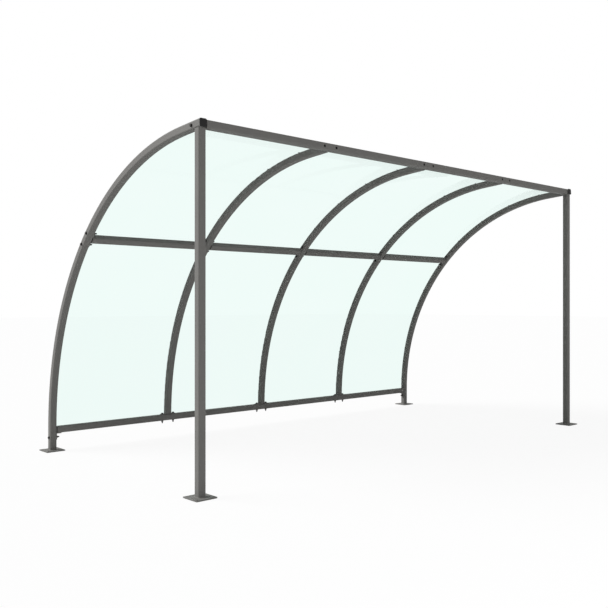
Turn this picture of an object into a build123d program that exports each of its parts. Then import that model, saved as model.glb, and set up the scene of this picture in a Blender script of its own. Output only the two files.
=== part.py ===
from build123d import *
import os
from math import cos, radians, sin

# Bike shelter. Five square-tube ribs rise from the back, bend over in a long
# arc and end nearly level at two front posts. A beam, a row of mid rails and a
# bottom rail join them, and a clear sheet lies over the outside of each bay.
#
# Millimetres, +Z up, floor at Z = 0. X runs along the shelter, -Y is the open
# front, and the origin is on the floor in the middle of the footprint.

# ---- Driving dimensions: the whole shelter -------------------------------
bay_count = 4
bay_pitch = 1000.0       # rib centre to rib centre
arc_r = 1955.0           # radius of the ribs' centre line
arc_angle = 86.0         # how far round the ribs bend before they run straight
arc_start_z = 180.0      # height at which they start to bend
post_ahead = 41.0        # front posts ahead of the arc's centre
rib_overhang = 5.0       # end ribs run on past the posts' front face

# ---- Driving dimensions: the tube that everything is made of -------------
tube = 50.0              # outside, square
tube_wall = 3.0
tube_corner_r = 10.0     # outside corner radius

# ---- Driving dimensions: rails -------------------------------------------
rail_top_z = 182.0       # top of the bottom rail
mid_rail_angle = 45.3    # where the mid rails sit on the arc, up from level

# ---- Driving dimensions: plates and their bolts --------------------------
base_side = 140.0
base_t = 8.0
base_hole_pitch = 110.0
base_hole_d = 12.0
joint_plate_t = 5.0      # plates welded to the ends of ribs and rails
joint_plate_width = 30.0  # they are flat bar, no wider than the tube's flat side
bolt_hole_d = 11.0
access_hole_d = 18.0     # in the beam's front wall, to reach the bolt head inside
bolt_reach = 52.0        # rib centre to each bolt beside it
plate_margin = 12.0      # bolt to the end of its plate
end_bolt_back = 54.0     # beam centre back to the bolt of its end plate
bracket_bolt_drop = 56.0  # bottom rail centre down to the bolt of its bracket
bracket_leg = 40.0       # level leg of the bracket, under the rail's end
bracket_margin = 20.0    # its bolt to the end of its upright

# ---- Driving dimensions: clear sheets ------------------------------------
sheet_t = 4.0
sheet_gap = 0.3          # clearance over the ribs and rails
sheet_joint = 4.0        # open joint between two sheets, over a rib's centre
sheet_end_inset = 25.0   # sheet edge short of the end ribs' outer side
sheet_front_inset = 25.0  # sheet edge short of the beam's front face
sheet_low_above = 3.0    # sheet edge above the bottom rail's underside

# ---- Driving dimensions: end caps ----------------------------------------
cap_head_t = 3.5
cap_plug_length = 20.0
cap_plug_wall = 2.0
cap_clearance = 0.3      # plug to the inside of the tube

# ---- Worked out from the above -------------------------------------------
half_tube = tube / 2
rib_xs = [bay_pitch * (i - bay_count / 2) for i in range(bay_count + 1)]
end_x = rib_xs[-1]
inner_x = end_x - half_tube               # inner side of the end ribs
beam_half_length = inner_x - joint_plate_t
rear_y = (arc_r + post_ahead) / 2         # ribs' feet, and the posts mirror them
front_y = -rear_y
arc_y = rear_y - arc_r
rail_z = rail_top_z - half_tube
foot_z = rail_top_z + joint_plate_t       # underside of the inner ribs
plate_half_length = bolt_reach + plate_margin
plate_half_width = joint_plate_width / 2
arc_end_y = arc_y + arc_r * cos(radians(arc_angle))
arc_end_z = arc_start_z + arc_r * sin(radians(arc_angle))
straight_run = (arc_end_y - front_y) / sin(radians(arc_angle))
front_z = arc_end_z + straight_run * cos(radians(arc_angle))
cut_size = 4 * tube                       # long enough to cut right through a tube


def outward_frame(angle, y, z):
    """Frame with X along the shelter, Y back along the rib and Z outwards."""
    outward = (0, cos(radians(angle)), sin(radians(angle)))
    return Plane(origin=(0, y, z), x_dir=(1, 0, 0), z_dir=outward)


front_frame = outward_frame(arc_angle, front_y, front_z)
mid_frame = outward_frame(
    mid_rail_angle,
    arc_y + arc_r * cos(radians(mid_rail_angle)),
    arc_start_z + arc_r * sin(radians(mid_rail_angle)),
)


def tube_profile():
    """Hollow section of the tube, centred on its plane."""
    bore = tube - 2 * tube_wall
    outside = RectangleRounded(tube, tube, tube_corner_r)
    inside = RectangleRounded(bore, bore, tube_corner_r - tube_wall)
    return outside - inside


def block(x_range, y_range, z_range):
    """Box between two limits on each axis."""
    low, high = zip(x_range, y_range, z_range)
    size = [b - a for a, b in zip(low, high)]
    return Pos(*low) * Box(*size, align=(Align.MIN, Align.MIN, Align.MIN))


def tube_along_x(start, end):
    """Straight length of tube along X."""
    return Pos(start, 0, 0) * extrude(Plane.YZ * tube_profile(), amount=end - start)


def hole_x(x, y, z):
    """Cutter for a bolt that runs along X."""
    return Pos(x, y, z) * Rot(0, 90, 0) * Cylinder(bolt_hole_d / 2, cut_size)


def hole_y(x, y, z, diameter=bolt_hole_d):
    """Cutter for a bolt that runs along Y."""
    return Pos(x, y, z) * Rot(90, 0, 0) * Cylinder(diameter / 2, cut_size)


def hole_z(x, y, z, diameter=bolt_hole_d):
    """Cutter for a bolt that runs along Z."""
    return Pos(x, y, z) * Cylinder(diameter / 2, cut_size)


def against_side(side_x, direction):
    """X limits of a plate that lies on a rib's side and faces one way."""
    return sorted((side_x, side_x + direction * joint_plate_t))


# ---- Ribs ----------------------------------------------------------------
def rib_tube(x, front_end):
    """Bent tube from the floor plate's top to a place along the front run."""
    bend = (rear_y, arc_start_z)
    foot = Line((rear_y, base_t), bend)
    arc = JernArc(bend, (0, 1), arc_r, arc_angle)
    front = Line(arc @ 1, arc @ 1 + (arc % 1) * (straight_run - front_end))
    path = Plane.YZ * Curve([foot, arc, front])
    section = Plane(origin=(0, rear_y, base_t)) * tube_profile()
    return Pos(x, 0, 0) * sweep(section, path=path)


def mid_rail_bolt_holes(x):
    """The two bolts that hold the mid rail plates to a rib."""
    return [mid_frame * hole_x(x, side * bolt_reach, 0) for side in (-1, 1)]


def end_rib(x):
    rib = rib_tube(x, -(half_tube + rib_overhang))
    rib -= mid_rail_bolt_holes(x)
    rib -= front_frame * hole_x(x, end_bolt_back, 0)
    rib -= hole_x(x, rear_y, rail_z - bracket_bolt_drop)
    return rib


def inner_rib(x):
    rib = rib_tube(x, half_tube + joint_plate_t)
    rib -= block((x - tube, x + tube), (rear_y - tube, rear_y + tube), (0, foot_z))
    rib -= mid_rail_bolt_holes(x)
    return rib


def rib_foot_plate(x):
    """Plate under an inner rib, bolted down through the bottom rail."""
    plate = block(
        (x - plate_half_length, x + plate_half_length),
        (rear_y - plate_half_width, rear_y + plate_half_width),
        (rail_top_z, foot_z),
    )
    return plate - [hole_z(x + side * bolt_reach, rear_y, foot_z) for side in (-1, 1)]


def rib_head_plate(x):
    """Plate on the front of an inner rib, bolted through the front beam."""
    plate = block(
        (x - plate_half_length, x + plate_half_length),
        (half_tube, half_tube + joint_plate_t),
        (-plate_half_width, plate_half_width),
    )
    plate -= [hole_y(x + side * bolt_reach, half_tube, 0) for side in (-1, 1)]
    return front_frame * plate


# ---- Posts and base plates -----------------------------------------------
def front_post(x):
    """Post from its base plate up to the sloping underside of the end rib."""
    post = Pos(x, front_y, base_t) * extrude(tube_profile(), amount=front_z - base_t)
    above = block((x - tube, x + tube), (-cut_size, cut_size), (-half_tube, cut_size))
    return post - front_frame * above


def base_plate(x, y):
    half_side = base_side / 2
    plate = block(
        (x - half_side, x + half_side),
        (y - half_side, y + half_side),
        (0, base_t),
    )
    offsets = (-base_hole_pitch / 2, base_hole_pitch / 2)
    return plate - [hole_z(x + dx, y + dy, 0, base_hole_d) for dx in offsets for dy in offsets]


# ---- Front beam ----------------------------------------------------------
def front_beam():
    beam = tube_along_x(-beam_half_length, beam_half_length)
    for x in rib_xs[1:-1]:
        for bolt_x in (x - bolt_reach, x + bolt_reach):
            beam -= hole_y(bolt_x, 0, 0)
            beam -= hole_y(bolt_x, -cut_size / 2, 0, access_hole_d)
    return front_frame * beam


def beam_end_plate(side):
    """Plate on the beam's end, reaching back to its bolt through the end rib."""
    plate = block(
        against_side(side * inner_x, -side),
        (-half_tube, end_bolt_back + plate_margin),
        (-plate_half_width, plate_half_width),
    )
    return front_frame * (plate - hole_x(side * inner_x, end_bolt_back, 0))


# ---- Bottom rail ---------------------------------------------------------
def bottom_rail():
    rail = Pos(0, rear_y, rail_z) * tube_along_x(-beam_half_length, beam_half_length)
    for x in rib_xs[1:-1]:
        rail -= [hole_z(x + side * bolt_reach, rear_y, rail_z) for side in (-1, 1)]
    return rail


def rail_bracket(side):
    """Angle on the rail's end: an upright on the rib and a leg under the rail."""
    y_range = (rear_y - plate_half_width, rear_y + plate_half_width)
    rail_under_z = rail_z - half_tube
    bolt_z = rail_z - bracket_bolt_drop
    upright = block(
        against_side(side * inner_x, -side),
        y_range,
        (bolt_z - bracket_margin, rail_top_z),
    )
    leg = block(
        sorted((side * inner_x, side * (inner_x - bracket_leg))),
        y_range,
        (rail_under_z - joint_plate_t, rail_under_z),
    )
    return upright + leg - hole_x(side * inner_x, rear_y, bolt_z)


# ---- Mid rails -----------------------------------------------------------
def mid_rail(left_rib_x, right_rib_x):
    clear = half_tube + joint_plate_t
    return mid_frame * tube_along_x(left_rib_x + clear, right_rib_x - clear)


def mid_rail_plate(rib_x, direction):
    """Plate on a mid rail's end, bolted through the rib along its side."""
    side_x = rib_x + direction * half_tube
    plate = block(
        against_side(side_x, direction),
        (-plate_half_length, plate_half_length),
        (-plate_half_width, plate_half_width),
    )
    plate -= [hole_x(side_x, side * bolt_reach, 0) for side in (-1, 1)]
    return mid_frame * plate


# ---- Clear sheets --------------------------------------------------------
def sheet_line(offset):
    """One face of the sheet in section, at an offset from the ribs' centre line."""
    bend = (rear_y + offset, arc_start_z)
    foot = Line((rear_y + offset, rail_z - half_tube + sheet_low_above), bend)
    arc = JernArc(bend, (0, 1), arc_r + offset, arc_angle)
    run = straight_run + half_tube - sheet_front_inset
    front = Line(arc @ 1, arc @ 1 + (arc % 1) * run)
    return [foot, arc, front]


def clear_sheet(left_x, right_x):
    """One sheet, from the bottom rail over the ribs to the front beam."""
    inside = sheet_line(half_tube + sheet_gap)
    outside = sheet_line(half_tube + sheet_gap + sheet_t)
    low_edge = Line(inside[0] @ 0, outside[0] @ 0)
    front_edge = Line(inside[-1] @ 1, outside[-1] @ 1)
    section = make_face([*inside, front_edge, *outside, low_edge])
    sheet = extrude(Plane.YZ * section, amount=right_x - left_x, dir=(1, 0, 0))
    return Pos(left_x, 0, 0) * sheet


def sheet_limits(bay):
    """Left and right edges of a bay's sheet."""
    outermost = end_x + half_tube - sheet_end_inset
    left = rib_xs[bay] + sheet_joint / 2 if bay > 0 else -outermost
    right = rib_xs[bay + 1] - sheet_joint / 2 if bay < bay_count - 1 else outermost
    return left, right


# ---- End caps ------------------------------------------------------------
def end_cap(x):
    """Cap on the front end of an end rib, with a hollow plug inside the tube."""
    plug_side = tube - 2 * (tube_wall + cap_clearance)
    plug_r = tube_corner_r - tube_wall - cap_clearance
    hollow_side = plug_side - 2 * cap_plug_wall
    ring = RectangleRounded(plug_side, plug_side, plug_r)
    ring -= RectangleRounded(hollow_side, hollow_side, plug_r - cap_plug_wall)
    head = extrude(RectangleRounded(tube, tube, tube_corner_r), amount=cap_head_t)
    cap = head + extrude(ring, amount=-cap_plug_length)
    rib_end = -(half_tube + rib_overhang)
    return front_frame * (Pos(x, rib_end, 0) * Rot(90, 0, 0) * cap)


# ---- All the pieces ------------------------------------------------------
pieces = {}

for side_name, side in (("left", -1), ("right", 1)):
    x = side * end_x
    pieces[f"{side_name}_end_rib"] = end_rib(x)
    pieces[f"{side_name}_end_cap"] = end_cap(x)
    pieces[f"{side_name}_front_post"] = front_post(x)
    pieces[f"{side_name}_front_base_plate"] = base_plate(x, front_y)
    pieces[f"{side_name}_rear_base_plate"] = base_plate(x, rear_y)
    pieces[f"{side_name}_beam_end_plate"] = beam_end_plate(side)
    pieces[f"{side_name}_rail_bracket"] = rail_bracket(side)

pieces["front_beam"] = front_beam()
pieces["bottom_rail"] = bottom_rail()

inner_names = ("left_inner_rib", "centre_rib", "right_inner_rib")
for rib_name, x in zip(inner_names, rib_xs[1:-1], strict=True):
    pieces[rib_name] = inner_rib(x)
    pieces[f"{rib_name}_foot_plate"] = rib_foot_plate(x)
    pieces[f"{rib_name}_head_plate"] = rib_head_plate(x)

for bay in range(bay_count):
    left_rib_x, right_rib_x = rib_xs[bay], rib_xs[bay + 1]
    rail_name = f"mid_rail_bay_{bay + 1}"
    pieces[rail_name] = mid_rail(left_rib_x, right_rib_x)
    pieces[f"{rail_name}_left_plate"] = mid_rail_plate(left_rib_x, 1)
    pieces[f"{rail_name}_right_plate"] = mid_rail_plate(right_rib_x, -1)
    pieces[f"clear_sheet_bay_{bay + 1}"] = clear_sheet(*sheet_limits(bay))

os.makedirs("parts", exist_ok=True)
for name, shape in pieces.items():
    export_step(shape, f"parts/{name}.step")

print(f"{len(pieces)} pieces, front centre line at z {front_z:.1f}, feet at y {rear_y:.1f}")
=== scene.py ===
# %% [markdown]
# # A bike shelter
#
# The shelter is a row of bent square tubes with clear sheets laid over them. The
# steel and the sheets come from the engineering model and are already in place, so
# this script doesn't model them again. It gives each one its finish, and adds the
# small things that hold them together: bolts, sheet screws and weld beads.

# %% Load the frame
import math
import random

import bmesh
import bpy
from mathutils import Matrix, Vector


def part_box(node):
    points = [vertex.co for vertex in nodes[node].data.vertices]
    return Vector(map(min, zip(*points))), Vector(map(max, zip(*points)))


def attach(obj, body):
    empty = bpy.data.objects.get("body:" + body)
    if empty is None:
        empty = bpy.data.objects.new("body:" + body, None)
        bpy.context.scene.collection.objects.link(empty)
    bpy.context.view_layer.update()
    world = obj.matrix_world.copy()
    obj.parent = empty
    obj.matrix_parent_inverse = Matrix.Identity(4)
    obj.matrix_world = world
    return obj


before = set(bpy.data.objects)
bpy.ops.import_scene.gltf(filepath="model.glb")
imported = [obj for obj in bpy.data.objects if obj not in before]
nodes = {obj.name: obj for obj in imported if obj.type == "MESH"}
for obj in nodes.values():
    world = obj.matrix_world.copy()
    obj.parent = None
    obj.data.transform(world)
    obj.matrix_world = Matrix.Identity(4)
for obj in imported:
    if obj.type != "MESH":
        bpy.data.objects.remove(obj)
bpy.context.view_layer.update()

MM = 0.001

# %% [markdown]
# ## Places worked out from the frame
#
# Every new piece sits on steel that is already there, so its place is read from the
# steel. The middle of a node's box gives the centre line of a straight tube, even of
# one that is turned, because a tube is the same on both sides of its centre line.
# Placing things by eye would be quicker, but a bolt has to meet its hole. Only what
# a box can't tell is written down, such as the radius of the bend.

# %% Measure the tubes


def middle(node):
    low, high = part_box(node)
    return (low + high) / 2


def extent(node):
    low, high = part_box(node)
    return high - low


tube = extent("left_front_post").x
half_tube = tube / 2
rib_names = ["left_end_rib", "left_inner_rib", "centre_rib", "right_inner_rib", "right_end_rib"]
rib_x = {name: middle(name).x for name in rib_names}
print(f"tube {tube / MM:.0f} mm, ribs at", [round(x, 3) for x in rib_x.values()])

# %% [markdown]
# The ribs are bent to one radius. An arc can't be read from a box, so its radius, its
# angle and the height where it starts are written down. Its centre lies one radius in
# front of the bottom rail, which stands in line with the ribs' feet.

# %% Measure the arc
arc_r = 1955 * MM
arc_start_z = 180 * MM
arc_angle = math.radians(86)
rear_y = middle("bottom_rail").y
arc_y = rear_y - arc_r
rail_z = middle("bottom_rail").z
print(f"arc centre at y {arc_y:.3f}, rail at z {rail_z:.3f}")

# %% [markdown]
# A joint on a rib is easiest to describe in its own directions: along the shelter,
# back along the rib, and outwards. Each piece could work out its own sines and
# cosines, but one slip there would go unseen. A matrix holds those three directions
# and a place, so a bolt that is made at the origin can be put at any joint.

# %% Directions at a joint


def rib_directions(angle, place):
    """Matrix with X along the shelter, Y back along the rib and Z outwards."""
    out_y, out_z = math.cos(angle), math.sin(angle)
    turn = Matrix(((1, 0, 0), (0, out_z, out_y), (0, -out_y, out_z)))
    return Matrix.Translation(place) @ turn.to_4x4()


beam_middle = middle("front_beam")
rail_middle = middle("mid_rail_bay_1")
mid_rail_angle = math.atan2(rail_middle.z - arc_start_z, rail_middle.y - arc_y)
at_beam = rib_directions(arc_angle, Vector((0, beam_middle.y, beam_middle.z)))
at_mid_rail = rib_directions(mid_rail_angle, Vector((0, rail_middle.y, rail_middle.z)))
print(f"mid rails at {math.degrees(mid_rail_angle):.1f} degrees up the arc")

# %% [markdown]
# ## Materials
#
# Colours are written as the hex values a paint chart gives. Those are sRGB, and a
# shader wants linear light, so one function turns the one into the other. Patterns
# read Object coordinates, which are metres on the real piece, so a grain can be
# given in millimetres and keeps its size on a short tube and on a long one.

# %% Colour and node helpers


def linear(hex_colour):
    """Linear red, green, blue and alpha from an sRGB hex value."""
    channels = [int(hex_colour[i:i + 2], 16) / 255 for i in (1, 3, 5)]
    return [c / 12.92 if c <= 0.04045 else ((c + 0.055) / 1.055) ** 2.4 for c in channels] + [1]


def add_node(tree, kind, settings=None, inputs=None):
    """Adds a node with its settings. An input is a value, or a socket to link."""
    node = tree.nodes.new(kind)
    for key, value in (settings or {}).items():
        setattr(node, key, value)
    for key, value in (inputs or {}).items():
        if isinstance(value, bpy.types.NodeSocket):
            tree.links.new(value, node.inputs[key])
        else:
            node.inputs[key].default_value = value
    return node


def new_material(name):
    material = bpy.data.materials.new(name)
    material.use_nodes = True
    material.node_tree.nodes.clear()
    return material, material.node_tree


def noise_in_mm(tree, grain_mm, detail=2.0):
    """Noise whose grains have a real size on the piece."""
    place = add_node(tree, "ShaderNodeTexCoord")
    return add_node(tree, "ShaderNodeTexNoise", inputs={
        "Vector": place.outputs["Object"], "Scale": 1 / (grain_mm * MM), "Detail": detail,
    })


print("mid grey #808080 is", round(linear("#808080")[0], 3), "in linear light")

# %% [markdown]
# ### Satin powder coat
#
# The steel is powder coated: dry paint is sprayed on and baked, and it flows out
# almost flat. It gives the eye a warm dark grey with a dull sheen that is never quite
# even. Two things make it so. The film is a little thicker here and there, so the
# colour drifts over a hand's width, and its skin has a fine orange peel. Real orange
# peel is about a millimetre across. It is drawn at 4 mm, because a finer one would
# vanish at the distance the shelter is seen from.
#
# A film of paint has an IOR of about 1.5. Its specular level is lowered, because a
# satin powder has fine matting grains that scatter most of what a gloss coat mirrors.

# %% Powder coat
coat, tree = new_material("satin powder coat")
drift = noise_in_mm(tree, grain_mm=180)
peel = noise_in_mm(tree, grain_mm=4)
colour = add_node(tree, "ShaderNodeMix", {"data_type": "RGBA"}, {
    "Factor": drift.outputs["Fac"], "A": linear("#6A6967"), "B": linear("#706F6C"),
})
gloss = add_node(tree, "ShaderNodeMapRange", inputs={
    "Value": peel.outputs["Fac"], "To Min": 0.50, "To Max": 0.62,
})
bump = add_node(tree, "ShaderNodeBump", inputs={
    "Height": peel.outputs["Fac"], "Strength": 0.12, "Distance": 0.15 * MM,
})
shader = add_node(tree, "ShaderNodeBsdfPrincipled", inputs={
    "Base Color": colour.outputs["Result"], "Roughness": gloss.outputs["Result"],
    "Normal": bump.outputs["Normal"], "IOR": 1.5, "Specular IOR Level": 0.1,
})
add_node(tree, "ShaderNodeOutputMaterial", inputs={"Surface": shader.outputs["BSDF"]})
print(coat.name, "has", len(tree.nodes), "nodes")

# %% [markdown]
# ### Clear polycarbonate
#
# The roof sheets are extruded polycarbonate, 4 mm thick. They give the eye almost
# nothing but a faint cool green, and a soft shine where they are seen edge-on. They
# could be faked with a see-through shader, but a sheet is a closed solid with two
# faces, so a true transmitting shader works and tints light as it goes through.
#
# Polycarbonate has an IOR of 1.585, which mirrors the frame in long streaks at a
# shallow angle. This roof shows no streaks, so the IOR is lowered until they go. The
# cast drifts very slowly across a sheet, as it does where an extruded sheet is a
# little thicker.

# %% Clear sheet plastic
polycarbonate, tree = new_material("clear extruded polycarbonate")
drift = noise_in_mm(tree, grain_mm=400, detail=1.0)
cast = add_node(tree, "ShaderNodeMix", {"data_type": "RGBA"}, {
    "Factor": drift.outputs["Fac"], "A": linear("#EFFCF8"), "B": linear("#F1FCF9"),
})
shader = add_node(tree, "ShaderNodeBsdfPrincipled", inputs={
    "Base Color": cast.outputs["Result"], "Roughness": 0.0, "IOR": 1.04,
    "Transmission Weight": 1.0,
})
add_node(tree, "ShaderNodeOutputMaterial", inputs={"Surface": shader.outputs["BSDF"]})
print(polycarbonate.name, "has", len(tree.nodes), "nodes")

# %% [markdown]
# ### Moulded black polyethylene
#
# The end caps are injection moulded. The mould's walls are spark eroded, which leaves
# a fine matt grain, so the caps look near black and dull, with no highlight. The
# grain is really about 0.1 mm. It is drawn at 1.5 mm so that it can be seen at all.

# %% End cap plastic
black_plastic, tree = new_material("moulded black polyethylene")
grain = noise_in_mm(tree, grain_mm=1.5)
colour = add_node(tree, "ShaderNodeMix", {"data_type": "RGBA"}, {
    "Factor": grain.outputs["Fac"], "A": linear("#1B1B1B"), "B": linear("#212020"),
})
bump = add_node(tree, "ShaderNodeBump", inputs={
    "Height": grain.outputs["Fac"], "Strength": 0.25, "Distance": 0.1 * MM,
})
shader = add_node(tree, "ShaderNodeBsdfPrincipled", inputs={
    "Base Color": colour.outputs["Result"], "Roughness": 0.65, "IOR": 1.51,
    "Specular IOR Level": 0.2, "Normal": bump.outputs["Normal"],
})
add_node(tree, "ShaderNodeOutputMaterial", inputs={"Surface": shader.outputs["BSDF"]})
print(black_plastic.name, "has", len(tree.nodes), "nodes")

# %% [markdown]
# ### Black zinc plate
#
# The bolts are steel with a black zinc plate. The plate is a thin layer on metal, so
# the shader is a metal with a dark colour and keeps the default IOR. The black is a
# chemical stain that takes unevenly, so both its colour and its gloss are mottled, in
# patches of a few millimetres.

# %% Bolt plating
zinc, tree = new_material("black zinc plated steel")
stain = noise_in_mm(tree, grain_mm=5)
colour = add_node(tree, "ShaderNodeMix", {"data_type": "RGBA"}, {
    "Factor": stain.outputs["Fac"], "A": linear("#2B2A2A"), "B": linear("#3A3938"),
})
gloss = add_node(tree, "ShaderNodeMapRange", inputs={
    "Value": stain.outputs["Fac"], "To Min": 0.40, "To Max": 0.60,
})
shader = add_node(tree, "ShaderNodeBsdfPrincipled", inputs={
    "Base Color": colour.outputs["Result"], "Roughness": gloss.outputs["Result"],
    "Metallic": 1.0,
})
add_node(tree, "ShaderNodeOutputMaterial", inputs={"Surface": shader.outputs["BSDF"]})
print(zinc.name, "has", len(tree.nodes), "nodes")

# %% [markdown]
# ### Finish the steel, sheets and caps
#
# A node keeps its mesh and takes a finish through its material slot. Its name says
# what it is, so the name decides.

# %% Give each node its finish


def finish_for(name):
    if name.startswith("clear_sheet"):
        return polycarbonate
    return black_plastic if name.endswith("_end_cap") else coat


for name, node in nodes.items():
    if not node.material_slots:
        node.data.materials.append(None)
    for material_slot in node.material_slots:
        material_slot.material = finish_for(name)

for finish in (coat, polycarbonate, black_plastic):
    print(finish.name, "on", sum(finish_for(name) == finish for name in nodes), "nodes")

# %% [markdown]
# ## From a bmesh to a piece
#
# A bmesh holds a mesh while it is shaped. Each new piece is built at the origin,
# moved into place as a mesh, and then given its finish and the body that it rides
# on. The object itself stays at the origin, so patterns on it stay still too.

# %% Turn a bmesh into a piece
triangle_count = 0


def make_piece(name, shape, material):
    global triangle_count
    bmesh.ops.recalc_face_normals(shape, faces=shape.faces)
    triangle_count += len(shape.calc_loop_triangles())
    mesh = bpy.data.meshes.new(name)
    shape.to_mesh(mesh)
    shape.free()
    mesh.materials.append(material)
    piece = bpy.data.objects.new(name, mesh)
    bpy.context.scene.collection.objects.link(piece)
    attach(piece, "root")
    return piece


# %% [markdown]
# ## Bolts
#
# Bolt heads, nuts, washers and shanks are all short prisms, round or six-sided, with
# their rims taken off. One helper makes them. The rim matters: a turned or forged
# edge is never sharp, and its small slope is what catches the light. A thread could
# be spun round the shank, but its 1.5 mm pitch would never show, so it is left off.

# %% A prism with its rims taken off


def add_prism(shape, sides, radius, low, high, rim, smooth=False):
    """Adds a prism along Z between two heights."""
    made = bmesh.ops.create_cone(
        shape, cap_ends=True, segments=sides, radius1=radius, radius2=radius,
        depth=high - low, matrix=Matrix.Translation((0, 0, (low + high) / 2)),
    )
    faces = {face for vert in made["verts"] for face in vert.link_faces}
    for face in faces:
        face.smooth = smooth and len(face.verts) == 4
    caps = [face for face in faces if abs(face.normal.z) > 0.5]
    rims = {edge for face in caps for edge in face.edges}
    bmesh.ops.bevel(shape, geom=list(rims), offset=rim, offset_type="OFFSET", segments=1,
                    profile=0.5, affect="EDGES", material=-1)


trial = bmesh.new()
add_prism(trial, sides=6, radius=9 * MM, low=0, high=6 * MM, rim=0.9 * MM)
print("a hexagonal head has", len(trial.faces), "faces")
trial.free()

# %% [markdown]
# The joints are closed with M10 hex bolts. An M10 head is 16 mm across its flats and
# 6.4 mm high, and the nut is 8.4 mm. Each has a 20 mm washer under the head and
# another under the nut. A set length is bought and not cut, so the shank stands out
# past the nut by whatever is left over.

# %% Hex bolt
round_sides = 32
shank_sides = 24
bolt_r = 5 * MM
head_across_flats = 16 * MM
head_corner_r = head_across_flats / math.sqrt(3)
head_height = 6.4 * MM
nut_height = 8.4 * MM
washer_r = 10 * MM
washer_t = 2 * MM
corner_rim = 0.9 * MM
washer_rim = 0.3 * MM


def hex_bolt(name, place, grip, length):
    """Bolt along Z, its head outside the steel at Z = 0 and its nut below Z = -grip."""
    shape = bmesh.new()
    under_nut = -grip - washer_t
    add_prism(shape, round_sides, washer_r, 0, washer_t, washer_rim, smooth=True)
    add_prism(shape, 6, head_corner_r, washer_t, washer_t + head_height, corner_rim)
    add_prism(shape, shank_sides, bolt_r, washer_t - length, washer_t, corner_rim, smooth=True)
    add_prism(shape, round_sides, washer_r, under_nut, -grip, washer_rim, smooth=True)
    add_prism(shape, 6, head_corner_r, under_nut - nut_height, under_nut, corner_rim)
    bmesh.ops.transform(shape, matrix=place, verts=shape.verts)
    return make_piece(name, shape, zinc)


print(f"head {2 * head_corner_r / MM:.1f} mm across its corners")

# %% [markdown]
# A bolt is made along Z, so it is turned to point the way its joint needs. On an end
# rib the head is outside and the nut is inside, where the plate is. Each bolt could be
# written out, but the two ends mirror each other, so one loop makes both.

# %% Bolts on the end ribs
bolt_reach = 52 * MM
end_bolt_back = 54 * MM
bracket_bolt_drop = 56 * MM
long_bolt = 80 * MM
plate_t = extent("left_beam_end_plate").x
side_grip = tube + plate_t


def facing(direction):
    """Turn that points a bolt's head along a direction."""
    return Vector(direction).to_track_quat("Z", "Y").to_matrix().to_4x4()


end_bolts = []
for side_name, side in (("left", -1), ("right", 1)):
    x = rib_x[f"{side_name}_end_rib"] + side * half_tube
    spots = {
        "mid_rail_bolt_upper": at_mid_rail @ Matrix.Translation((x, -bolt_reach, 0)),
        "mid_rail_bolt_lower": at_mid_rail @ Matrix.Translation((x, bolt_reach, 0)),
        "beam_plate_bolt": at_beam @ Matrix.Translation((x, end_bolt_back, 0)),
        "bracket_bolt": Matrix.Translation((x, rear_y, rail_z - bracket_bolt_drop)),
    }
    for spot_name, spot in spots.items():
        place = spot @ facing((side, 0, 0))
        end_bolts.append(hex_bolt(f"{side_name}_{spot_name}", place, side_grip, long_bolt))
print(len(end_bolts), f"bolts on the end ribs, each through {side_grip / MM:.0f} mm")

# %% [markdown]
# An inner rib has a rail on both sides, so each of its bolts clamps the tube and two
# plates. At its foot a plate lies on the bottom rail, and two bolts go straight down
# through both. Those stand along Z already, so they need no turn.

# %% Bolts through the inner ribs and the bottom rail
inner_rib_names = rib_names[1:-1]
inner_bolts = []
for rib in inner_rib_names:
    x = rib_x[rib]
    head_x = x - half_tube - plate_t
    for end_name, reach in (("upper", -bolt_reach), ("lower", bolt_reach)):
        place = at_mid_rail @ Matrix.Translation((head_x, reach, 0)) @ facing((-1, 0, 0))
        inner_bolts.append(
            hex_bolt(f"{rib}_mid_rail_bolt_{end_name}", place, side_grip + plate_t, long_bolt)
        )
    for end_name, reach in (("left", -bolt_reach), ("right", bolt_reach)):
        place = Matrix.Translation((x + reach, rear_y, rail_z + half_tube + plate_t))
        inner_bolts.append(hex_bolt(f"{rib}_foot_bolt_{end_name}", place, side_grip, long_bolt))
print(len(inner_bolts), "bolts at the inner ribs")

# %% [markdown]
# At the front beam only the back wall is clamped. A wide hole in the front wall lets
# a spanner's socket reach the head, which sits inside the tube, so from the front
# each bolt shows as a dark round hole. The bolt is a short one.

# %% Bolts inside the front beam
short_bolt = 30 * MM
tube_wall = 3 * MM
head_y = half_tube - tube_wall
beam_bolts = []
for rib in inner_rib_names:
    for end_name, reach in (("left", -bolt_reach), ("right", bolt_reach)):
        place = at_beam @ Matrix.Translation((rib_x[rib] + reach, head_y, 0))
        beam_bolts.append(hex_bolt(
            f"{rib}_beam_bolt_{end_name}", place @ facing((0, -1, 0)),
            tube_wall + plate_t, short_bolt,
        ))
print(len(beam_bolts), "bolts inside the beam;", triangle_count, "triangles so far")

# %% [markdown]
# ## Sheet screws
#
# Each sheet is held down to its two ribs by a row of low screws, each on a thin
# sealing washer that keeps rain out of the hole. Their heads are painted to match
# the steel. There are many of them, so one is made with only a few faces, and its
# mesh is kept to be copied.

# %% One sheet screw
seal_sides = 12
seal_r = 6 * MM
seal_t = 0.8 * MM
seal_rim = 0.2 * MM
screw_sides = 10
screw_r = 4 * MM
screw_height = 1.6 * MM
screw_rim = 0.8 * MM


def sheet_screw():
    """Low round head on its washer, as a mesh that stands on Z = 0."""
    screw = bmesh.new()
    add_prism(screw, seal_sides, seal_r, 0, seal_t, seal_rim, smooth=True)
    screw_top = seal_t + screw_height
    add_prism(screw, screw_sides, screw_r, seal_t, screw_top, screw_rim, smooth=True)
    mesh = bpy.data.meshes.new("sheet_screw")
    screw.to_mesh(mesh)
    screw.free()
    return mesh


one_screw = sheet_screw()
print("a sheet screw has", len(one_screw.polygons), "faces")

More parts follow.
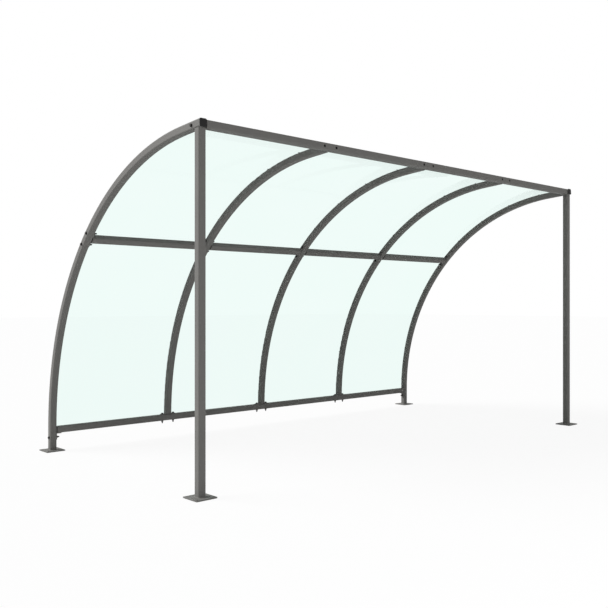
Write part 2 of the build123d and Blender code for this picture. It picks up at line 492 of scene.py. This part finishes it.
# %% [markdown]
# The rows follow the ribs, so each screw points straight out from the arc. Each could
# be an object of its own, but dozens of tiny objects only clutter a model, so a bay's
# two rows are copied into one mesh.

# %% Rows of sheet screws
screws_in_row = 9
first_screw, last_screw = math.radians(3), math.radians(83)
screw_from_joint = 12 * MM
sheet_gap = 0.3 * MM
sheet_t = 4 * MM
sheet_outside_r = arc_r + half_tube + sheet_gap + sheet_t
bays = range(1, len(rib_names))

for bay in bays:
    shape = bmesh.new()
    left = rib_x[rib_names[bay - 1]] + screw_from_joint
    right = rib_x[rib_names[bay]] - screw_from_joint
    for x in (left, right):
        for i in range(screws_in_row):
            angle = first_screw + (last_screw - first_screw) * i / (screws_in_row - 1)
            place = Vector((x, arc_y + sheet_outside_r * math.cos(angle),
                            arc_start_z + sheet_outside_r * math.sin(angle)))
            before = len(shape.verts)
            shape.from_mesh(one_screw)
            shape.verts.ensure_lookup_table()
            bmesh.ops.transform(shape, matrix=rib_directions(angle, place),
                                verts=shape.verts[before:])
    make_piece(f"sheet_screws_bay_{bay}", shape, coat)
bpy.data.meshes.remove(one_screw)
print(2 * screws_in_row * len(bays), "sheet screws")

# %% [markdown]
# ## Weld beads
#
# The posts and ribs are welded to their base plates before they are painted, so a
# bead has the same coat as the steel. It is a sloping collar round the foot of the
# tube. It could be swept along a path, but a block with the tube's rounded corners,
# widened at the bottom, has the same shape and closes by itself. A hand-laid bead is
# never even, so its edge wanders by a fraction of a millimetre. The wander is drawn
# from a fixed seed, so every run makes the same beads.

# %% Collars on the base plates
weld_leg = 3 * MM
weld_wander = 0.4 * MM
weld_corner_steps = 6
weld_seed = 7
weld_random = random.Random(weld_seed)
base_t = extent("left_front_base_plate").z
tube_corner_r = 10 * MM


def weld_collar(name, place):
    """Bead all round a tube that stands on a plate at Z = 0."""
    shape = bmesh.new()
    size = Matrix.Diagonal((tube, tube, weld_leg, 1))
    bmesh.ops.create_cube(shape, size=1.0,
                          matrix=Matrix.Translation((0, 0, weld_leg / 2)) @ size)
    upright = [e for e in shape.edges if abs(e.verts[0].co.z - e.verts[1].co.z) > weld_leg / 2]
    bmesh.ops.bevel(shape, geom=upright, offset=tube_corner_r, offset_type="OFFSET",
                    segments=weld_corner_steps, profile=0.5, affect="EDGES", material=-1)
    for vert in shape.verts:
        if vert.co.z < weld_leg / 2:
            reach = weld_leg + weld_random.uniform(-weld_wander, weld_wander)
            vert.co.xy *= 1 + reach / half_tube
    bmesh.ops.transform(shape, matrix=place, verts=shape.verts)
    return make_piece(name, shape, coat)


for side_name in ("left", "right"):
    for foot_name in ("front", "rear"):
        spot = middle(f"{side_name}_{foot_name}_base_plate")
        place = Matrix.Translation((spot.x, spot.y, base_t))
        collar = weld_collar(f"{side_name}_{foot_name}_base_weld", place)
print("a collar has", len(collar.data.polygons), "faces")

# %% [markdown]
# A joint plate is a flat bar, narrower than the tube that is welded to it. The bar
# runs on past the tube at both ends, and there a short bead lies across it, in the
# corner between bar and tube. A small block with its outer edge rounded off is that
# bead. It is cut into slices, and each slice swells or shrinks a little, as the
# ripples in a bead do.

# %% One short bead
plate_width = extent("left_inner_rib_foot_plate").y
bead_rounding = 0.8 * weld_leg
bead_steps = 3
bead_cuts = 9
same_slice = 5  # decimals of a metre that tell one slice from the next


def add_bead(shape, side):
    """Bead along X, in the corner where a tube's side meets a plate at Z = 0."""
    size = Matrix.Diagonal((plate_width, weld_leg, weld_leg, 1))
    corner = Matrix.Translation((0, weld_leg / 2, weld_leg / 2))
    verts = bmesh.ops.create_cube(shape, size=1.0, matrix=corner @ size)["verts"]
    edges = {edge for vert in verts for edge in vert.link_edges}
    outer = [e for e in edges if all(min(v.co.y, v.co.z) > weld_leg / 2 for v in e.verts)]
    bmesh.ops.bevel(shape, geom=outer, offset=bead_rounding, offset_type="OFFSET",
                    segments=bead_steps, profile=0.5, affect="EDGES", material=-1)
    fresh = [v for v in shape.verts if not v.tag]
    along = {e for v in fresh for e in v.link_edges
             if abs(e.verts[0].co.x - e.verts[1].co.x) > plate_width / 2}
    bmesh.ops.subdivide_edges(shape, edges=list(along), cuts=bead_cuts, use_grid_fill=False)
    fresh = [v for v in shape.verts if not v.tag]
    for x in sorted({round(v.co.x, same_slice) for v in fresh}):
        swell = 1 + weld_random.uniform(-weld_wander, weld_wander) / weld_leg
        for v in fresh:
            if round(v.co.x, same_slice) == x:
                v.co.y *= swell
                v.co.z *= swell
    move = Matrix.Diagonal((1, side, 1, 1)) @ Matrix.Translation((0, half_tube, 0))
    bmesh.ops.transform(shape, matrix=move, verts=fresh)
    for v in fresh:
        v.tag = True


print(f"a bead is {plate_width / MM:.0f} mm long, cut into {bead_cuts + 1} slices")

# %% [markdown]
# The plates at an inner rib's foot and head run on past the rib on both sides, so each
# gets two beads. The two could be separate pieces, but they belong to one joint and
# move together, so they are made as one.

# %% Beads on foot and head plates


def joint_weld(name, place, sides=(-1, 1)):
    """Beads on a plate whose length runs along Y, beside a tube that leaves along Z."""
    shape = bmesh.new()
    for side in sides:
        add_bead(shape, side)
    bmesh.ops.transform(shape, matrix=place, verts=shape.verts)
    return make_piece(name, shape, coat)


turn_flat = Matrix.Rotation(math.radians(90), 4, "Z")
for rib in inner_rib_names:
    foot = Matrix.Translation((rib_x[rib], rear_y, rail_z + half_tube + plate_t))
    joint_weld(f"{rib}_foot_weld", foot @ turn_flat)
    head = at_beam @ Matrix.Translation((rib_x[rib], half_tube + plate_t, 0))
    joint_weld(f"{rib}_head_weld", head @ Matrix.Rotation(math.radians(-90), 4, "X") @ turn_flat)
print(2 * len(inner_rib_names), "welds on foot and head plates")

# %% [markdown]
# The rails' end plates stand on edge against the ribs, so the same bead is turned on
# its side. A mid rail's plate runs on both ways and gets two beads. The beam's end
# plate runs on only to the back, and gets one.

# %% Beads on the rails' end plates
weld_count = 0
for bay in bays:
    ends = (("left", rib_names[bay - 1], 1), ("right", rib_names[bay], -1))
    for end_name, rib, side in ends:
        turn = Matrix.Rotation(math.radians(90 * side), 4, "Y")
        x = rib_x[rib] + side * (half_tube + plate_t)
        place = at_mid_rail @ Matrix.Translation((x, 0, 0)) @ turn
        weld = joint_weld(f"mid_rail_bay_{bay}_{end_name}_weld", place)
        weld_count += 1
for side_name, side in (("left", 1), ("right", -1)):
    turn = Matrix.Rotation(math.radians(90 * side), 4, "Y")
    x = rib_x[f"{side_name}_end_rib"] + side * (half_tube + plate_t)
    place = at_beam @ Matrix.Translation((x, 0, 0)) @ turn
    joint_weld(f"{side_name}_beam_end_weld", place, sides=(1,))
    weld_count += 1
print(weld_count, "welds on rail and beam ends,", len(weld.data.polygons), "faces on each")
print(triangle_count, "triangles in all the new pieces")

# %% [markdown]
# ## Floor and light
#
# The shelter stands on a pale studio floor. The floor glows a little towards the
# camera, so that it reads as white and runs into the white background, and the rest
# of its brightness is real light, so that the shelter still shades it. Reflections
# and the view through a sheet show that same white. A ray that a dull surface has
# scattered doesn't see it, so the glow doesn't light the shelter.

# %% Which rays see the white
white_rays = ("Is Camera Ray", "Is Glossy Ray", "Is Transmission Ray")


def seen_directly(tree):
    """1 for rays from the eye, from a reflection or through a clear sheet."""
    path = add_node(tree, "ShaderNodeLightPath")
    seen = path.outputs[white_rays[0]]
    for name in white_rays[1:]:
        seen = add_node(tree, "ShaderNodeMath", {"operation": "MAXIMUM"}, {
            0: seen, 1: path.outputs[name],
        }).outputs["Value"]
    unbounced = add_node(tree, "ShaderNodeMath", {"operation": "LESS_THAN"}, {
        0: path.outputs["Diffuse Depth"], 1: 0.5,
    })
    return add_node(tree, "ShaderNodeMath", {"operation": "MULTIPLY"}, {
        0: seen, 1: unbounced.outputs["Value"],
    }).outputs["Value"]


print("the white shows for:", ", ".join(white_rays))

# %% [markdown]
# The floor is one large square. It lies a hair below the feet, because two faces at
# the same height flicker.

# %% Floor
floor_glow_share = 0.92
floor_size = 120
floor_drop = 0.2 * MM

floor_paint, tree = new_material("pale studio floor")
paint = add_node(tree, "ShaderNodeBsdfDiffuse", inputs={"Color": linear("#D7D7D7")})
glow = add_node(tree, "ShaderNodeEmission", inputs={"Strength": 1.0})
share = add_node(tree, "ShaderNodeMath", {"operation": "MULTIPLY"}, {
    0: seen_directly(tree), 1: floor_glow_share,
})
mix = add_node(tree, "ShaderNodeMixShader", inputs={
    0: share.outputs["Value"], 1: paint.outputs["BSDF"], 2: glow.outputs["Emission"],
})
add_node(tree, "ShaderNodeOutputMaterial", inputs={"Surface": mix.outputs["Shader"]})

floor_shape = bmesh.new()
bmesh.ops.create_grid(floor_shape, x_segments=1, y_segments=1, size=floor_size / 2,
                      matrix=Matrix.Translation((0, 0, -floor_drop)))
floor_mesh = bpy.data.meshes.new("studio_floor")
floor_shape.to_mesh(floor_mesh)
floor_shape.free()
floor_mesh.materials.append(floor_paint)
floor = bpy.data.objects.new("studio_floor", floor_mesh)
bpy.context.scene.collection.objects.link(floor)
print(f"floor {floor_size} m square")

# %% [markdown]
# The world gives an even light from all round. On its own it would leave every face
# of a shaded tube nearly the same grey, and a square tube is only read as square when
# its faces differ. So two lamps are added, one for each pair of faces.

# %% World
world_level = 0.40

world = bpy.data.worlds.new("studio")
bpy.context.scene.world = world
world.use_nodes = True
tree = world.node_tree
tree.nodes.clear()
even = add_node(tree, "ShaderNodeBackground",
                inputs={"Color": (1, 1, 1, 1), "Strength": world_level})
white = add_node(tree, "ShaderNodeBackground", inputs={"Color": (1, 1, 1, 1), "Strength": 1.0})
mix = add_node(tree, "ShaderNodeMixShader", inputs={
    0: seen_directly(tree), 1: even.outputs["Background"], 2: white.outputs["Background"],
})
add_node(tree, "ShaderNodeOutputWorld", inputs={"Surface": mix.outputs["Shader"]})
bpy.context.scene.view_settings.view_transform = "Standard"
print("world level", world_level)

# %% [markdown]
# The first lamp is a broad sun to the left and behind, which makes the left faces of
# the outer tubes and the tops of the plates the brightest. A sun is endlessly far
# away, so its place only gives the direction that it shines from. The second is a
# long, low softbox just above the floor in front. It reaches under the roof and lifts
# the faces that look forward and down, where the sun can't go.
#
# Neither lamp's direct light passes through the sheets, and neither lamp is seen
# through them. That keeps the inner ribs in the roof's shade, and it keeps a bright
# patch from showing behind a sheet.

# %% Sun and softbox


def add_lamp(name, kind, level, place, towards):
    """Lamp at a place, turned towards a point, that nobody sees directly."""
    data = bpy.data.lights.new(name, kind)
    data.energy = level
    lamp = bpy.data.objects.new(name, data)
    lamp.location = place
    lamp.rotation_mode = "QUATERNION"
    lamp.rotation_quaternion = (towards - place).to_track_quat("-Z", "Y")
    lamp.visible_camera = False
    lamp.visible_transmission = False
    bpy.context.scene.collection.objects.link(lamp)
    return data


sun = add_lamp("broad_sun", "SUN", level=4.05, place=Vector((-7.0, 6.8, 7.8)),
               towards=Vector((0, 0, 0)))
sun.angle = math.radians(40)
softbox = add_lamp("low_softbox", "AREA", level=34, place=Vector((0, -4.2, 0.6)),
                   towards=Vector((0, 0.5, 1.3)))
softbox.shape = "RECTANGLE"
softbox.size, softbox.size_y = 7.0, 1.0
print(f"softbox {softbox.size:.0f} x {softbox.size_y:.0f} m")

# %% [markdown]
# ## Camera
#
# The camera stands at chest height off the left front corner and looks level, so the
# posts stay upright. A small sideways shift brings the whole shelter into view
# without turning the camera.

# %% Camera
camera_place = Vector((-4.5114, -4.7806, 1.1110))
camera_turn = math.radians(43.323)

camera_data = bpy.data.cameras.new("camera")
camera_data.lens = 46.30
camera_data.sensor_width = 36
camera_data.shift_x = -0.05
camera = bpy.data.objects.new("camera", camera_data)
camera.location = camera_place
camera.rotation_euler = (math.radians(90), 0, -camera_turn)
bpy.context.scene.collection.objects.link(camera)
bpy.context.scene.camera = camera
nearest = (middle("left_front_post") - camera_place).length
print(f"camera {nearest:.2f} m from the nearest post")
